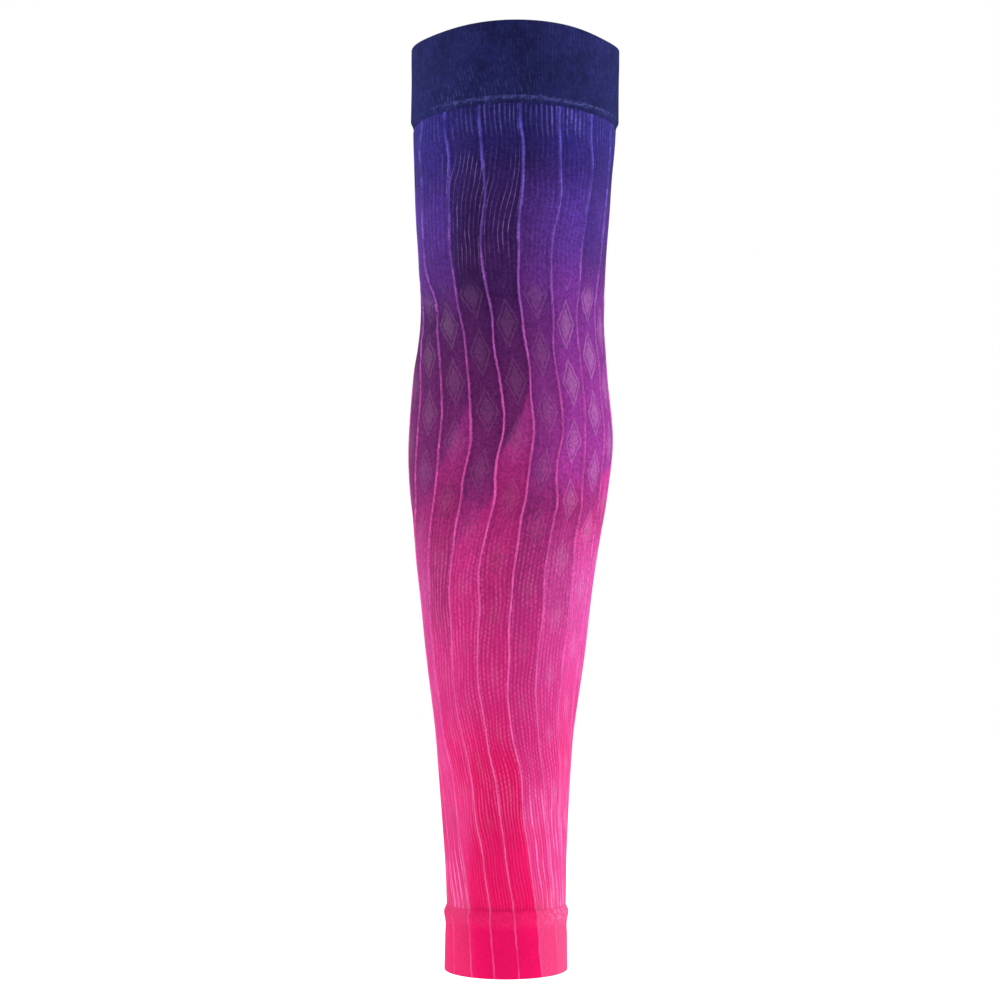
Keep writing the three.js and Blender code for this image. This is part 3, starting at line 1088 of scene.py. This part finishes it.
brightRibs = {
    "tint": 0.9,
    "tintPatches": (0.34, 0.6),
    "ragged": 0.42,  # wales that a rib's edges stray by
    "beadLength": 1.7,
    "beadDepth": 0.1,
    "tuckShade": -0.12,
    "clouds": {"ragged": (3.7, 2.4, 2), "tint": (3.7, 11, 2)},
    "steps": {
        "inner": (90, 140, 0.22, 0.34),
        "outer": (90, 140, 0.79, 0.66),
        "faint": (90, 140, 0.35, 0.6),
        "wristFade": (325, 365, 1, 0.75),
        "besideFrom": (0.6, 0.85),
        "besideEnd": (1.1, 1.6, 1, 0),
        "besideShade": (210, 260, -0.12, 0),
        "tuckFrom": (387.6, 389.6),
        "tuckLeft": (-26, -20),
        "tuckRight": (0, 6, 1, 0),
    },
}


def ribLines(tree, wale, down, dyed, colour):
    # bright ribs with a line of painted shade at each side, and a painted shadow where the tube tucks under
    # the wrist cuff
    rib = calc(tree, "ROUND", calc(tree, "DIVIDE", wale, sleeve["walesPerPanel"]))
    ragged = yarnCloud(tree, brightRibs, "ragged", rib, down)
    ragged = swayed(tree, ragged, brightRibs["ragged"], wale)
    away = calc(tree, "PINGPONG", ragged, sleeve["walesPerPanel"] / 2)
    # painted shade in a line at each side of a rib
    beside = steps(tree, brightRibs, besideFrom=away, besideEnd=away)
    beside = calc(tree, "MULTIPLY_ADD", beside, steps(tree, brightRibs, besideShade=down), 1)
    colour = shaded(tree, colour, beside)
    # painted shadow: a dark line where the tube tucks under the wrist cuff in front
    tuck = steps(tree, brightRibs, tuckFrom=down, tuckLeft=wale, tuckRight=wale)
    colour = shaded(tree, colour, calc(tree, "MULTIPLY_ADD", tuck, brightRibs["tuckShade"], 1))
    tint = yarnCloud(tree, brightRibs, "tint", rib, down)
    faint = steps(tree, brightRibs, faint=down)
    tint = spread(tree, tint, *brightRibs["tintPatches"], faint, brightRibs["tint"])
    tint = times(tree, tint, steps(tree, brightRibs, wristFade=down))
    inner, outer = steps(tree, brightRibs, inner=down), steps(tree, brightRibs, outer=down)
    onRib = spread(tree, away, inner, outer, 1, 0)
    beads = calc(tree, "SINE", times(tree, down, 2 * math.pi / brightRibs["beadLength"]))
    beads = calc(tree, "MULTIPLY_ADD", beads, brightRibs["beadDepth"], 1 - brightRibs["beadDepth"])
    return blend(tree, times(tree, onRib, tint, beads), colour, dyed["Rib"])


def tubeMaterial():
    material, tree, shader, wale, down, stitches = knitMaterial("dippedRibKnit", tubeKnit)
    dyed = useGroup(tree, dipDyed, Wale=wale, Down=down)
    colour = waleLines(tree, wale, down, dyed)
    colour, film = lozengeFilm(tree, wale, down, colour)
    colour = ribLines(tree, wale, down, dyed, colour)
    heather = steps(tree, tubeKnit, heather=down)
    plug(tree, shader.inputs["Base Color"], knitted(tree, colour, stitches, tubeKnit, heather))
    plug(tree, shader.inputs["Coat Weight"], times(tree, film, lozenges["coat"]))
    shader.inputs["Coat Roughness"].default_value = lozenges["coatRoughness"]
    raisedStitches(tree, shader, stitches, tubeKnit)
    return material


# Wrist cuff: the end of the dye, with faint ribs and a mottled painted highlight on its ridge
wristKnit = {
    "stitchesPerWale": 2,
    "course": 0.85,
    "heather": 0.12,
    "yarnShade": 0.2,
    "bump": 0.08,
    "bumpStrength": 0.6,
    "roughness": 0.8,
    "gloss": 0.04,
    "sheen": 0.05,
    "sheenRoughness": 0.4,
    "sheenTint": dye(255, 215, 235),
    "depth": 0.93,
    "ribTint": 0.4,
    "wavy": 0.9,  # wales that a rib strays by
    "mottle": (0.4, 0.7, 0.05),
    "clouds": {"wavy": (3.7, 7, 2), "faint": (5.1, 15, 2), "mottle": (0.9, 1.6, 2)},
    "steps": {
        "rib": (0.15, 0.7, 1, 0),
        "faint": (0.35, 0.65, 0.35, 1.2),
        "mottleSide": (0, 8, 0.12, 1),
        "ridgeFrom": (389.5, 391.5),
        "ridgeEnd": (395, 399, 0.35, 0),
    },
}


def wristMaterial():
    material, tree, shader, wale, down, stitches = knitMaterial("pinkKnit", wristKnit)
    dyed = useGroup(tree, dipDyed, Wale=wale, Down=down)
    rib = calc(tree, "ROUND", calc(tree, "DIVIDE", wale, sleeve["walesPerPanel"]))
    wavy = swayed(tree, yarnCloud(tree, wristKnit, "wavy", rib, down), wristKnit["wavy"], wale)
    away = calc(tree, "PINGPONG", wavy, sleeve["walesPerPanel"] / 2)
    faint = yarnCloud(tree, wristKnit, "faint", rib, down)
    onRib = times(tree, steps(tree, wristKnit, rib=away, faint=faint), wristKnit["ribTint"])
    colour = blend(tree, onRib, dyed["Cloth"], dyed["Rib"])
    # painted highlight: mottled pale patches on the ridge, stronger towards the right side
    mottle = yarnCloud(tree, wristKnit, "mottle", wale, down)
    mottle = spread(tree, mottle, *wristKnit["mottle"], steps(tree, wristKnit, mottleSide=wale))
    ridge = times(tree, steps(tree, wristKnit, ridgeFrom=down, ridgeEnd=down), mottle)
    colour = blend(tree, ridge, colour, dipDye["wristTint"])
    colour = shaded(tree, colour, wristKnit["depth"])
    plug(tree, shader.inputs["Base Color"], knitted(tree, colour, stitches, wristKnit, wristKnit["heather"]))
    raisedStitches(tree, shader, stitches, wristKnit)
    return material


for piece, material, node, slot in (
    (upperCuffPiece, navyMaterial(), "upper_cuff", "upper_cuff_knit"),
    (tubePiece, tubeMaterial(), "ribbed_tube", "tube_knit"),
    (wristPiece, wristMaterial(), "wrist_cuff", "wrist_cuff_knit"),
):
    piece.data.materials.append(material)
    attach(piece, "root")
    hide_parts(node)
print("pieces dressed")

# Studio: a nearly level camera, a soft lamp at each side and a weak one in front, white floor
studio = {
    "camera": (-0.0046, -0.939, -0.234),
    "lens": 73.8,
    "tilt": 1.64,
    "floor": -0.47,
    "floorSize": 1.4,
    "floorSides": 64,
    "floorColour": (0.92, 0.92, 0.92, 1),
    "floorRoughness": 0.9,
    "floorGlow": 0.5,
    "ambient": 0.42,
    "white": (1, 1, 1, 1),
    "lamps": [  # place, size and watts
        {"at": (0.95, -0.08, 0.4), "size": (0.6, 0.7), "power": 10.5},
        {"at": (-0.95, 0.04, 0.4), "size": (0.6, 0.7), "power": 9},
        {"at": (-0.1, -1.9, 0.5), "size": (1.6, 1.2), "power": 6},
    ],
}


def placeStudio():
    scene = bpy.context.scene
    scene.view_settings.view_transform = "Standard"
    lens = bpy.data.cameras.new("camera")
    lens.lens = studio["lens"]
    camera = bpy.data.objects.new("camera", lens)
    camera.location = studio["camera"]
    camera.rotation_euler = (math.radians(90 + studio["tilt"]), 0, 0)
    scene.collection.objects.link(camera)
    scene.camera = camera
    middle = (cadLow + cadHigh) / 2
    for i, lamp in enumerate(studio["lamps"]):
        light = bpy.data.lights.new(f"softbox{i}", "AREA")
        light.shape = "RECTANGLE"
        light.size, light.size_y = lamp["size"]
        light.energy = lamp["power"]
        holder = bpy.data.objects.new(f"softbox{i}", light)
        holder.location = lamp["at"]
        holder.rotation_euler = (middle - holder.location).to_track_quat("-Z", "Y").to_euler()
        scene.collection.objects.link(holder)

    bm = bmesh.new()
    bmesh.ops.create_circle(bm, cap_ends=True, segments=studio["floorSides"], radius=studio["floorSize"])
    bmesh.ops.translate(bm, verts=bm.verts, vec=(0, 0, studio["floor"]))
    mesh = bpy.data.meshes.new("floor")
    bm.to_mesh(mesh)
    bm.free()
    floor = bpy.data.objects.new("floor", mesh)
    scene.collection.objects.link(floor)
    paper = bpy.data.materials.new("whitePaper")
    paper.use_nodes = True
    surface = paper.node_tree.nodes["Principled BSDF"]
    surface.inputs["Base Color"].default_value = studio["floorColour"]
    surface.inputs["Roughness"].default_value = studio["floorRoughness"]
    surface.inputs["Emission Color"].default_value = studio["white"]
    surface.inputs["Emission Strength"].default_value = studio["floorGlow"]
    mesh.materials.append(paper)

    world = bpy.data.worlds.new("studio")
    world.use_nodes = True
    scene.world = world
    tree = world.node_tree
    seen = add(tree, "ShaderNodeLightPath").outputs["Is Camera Ray"]
    strength = spread(tree, seen, 0, 1, studio["ambient"], 1)
    plug(tree, tree.nodes["Background"].inputs["Color"], studio["white"])
    plug(tree, tree.nodes["Background"].inputs["Strength"], strength)


placeStudio()
print("studio ready")
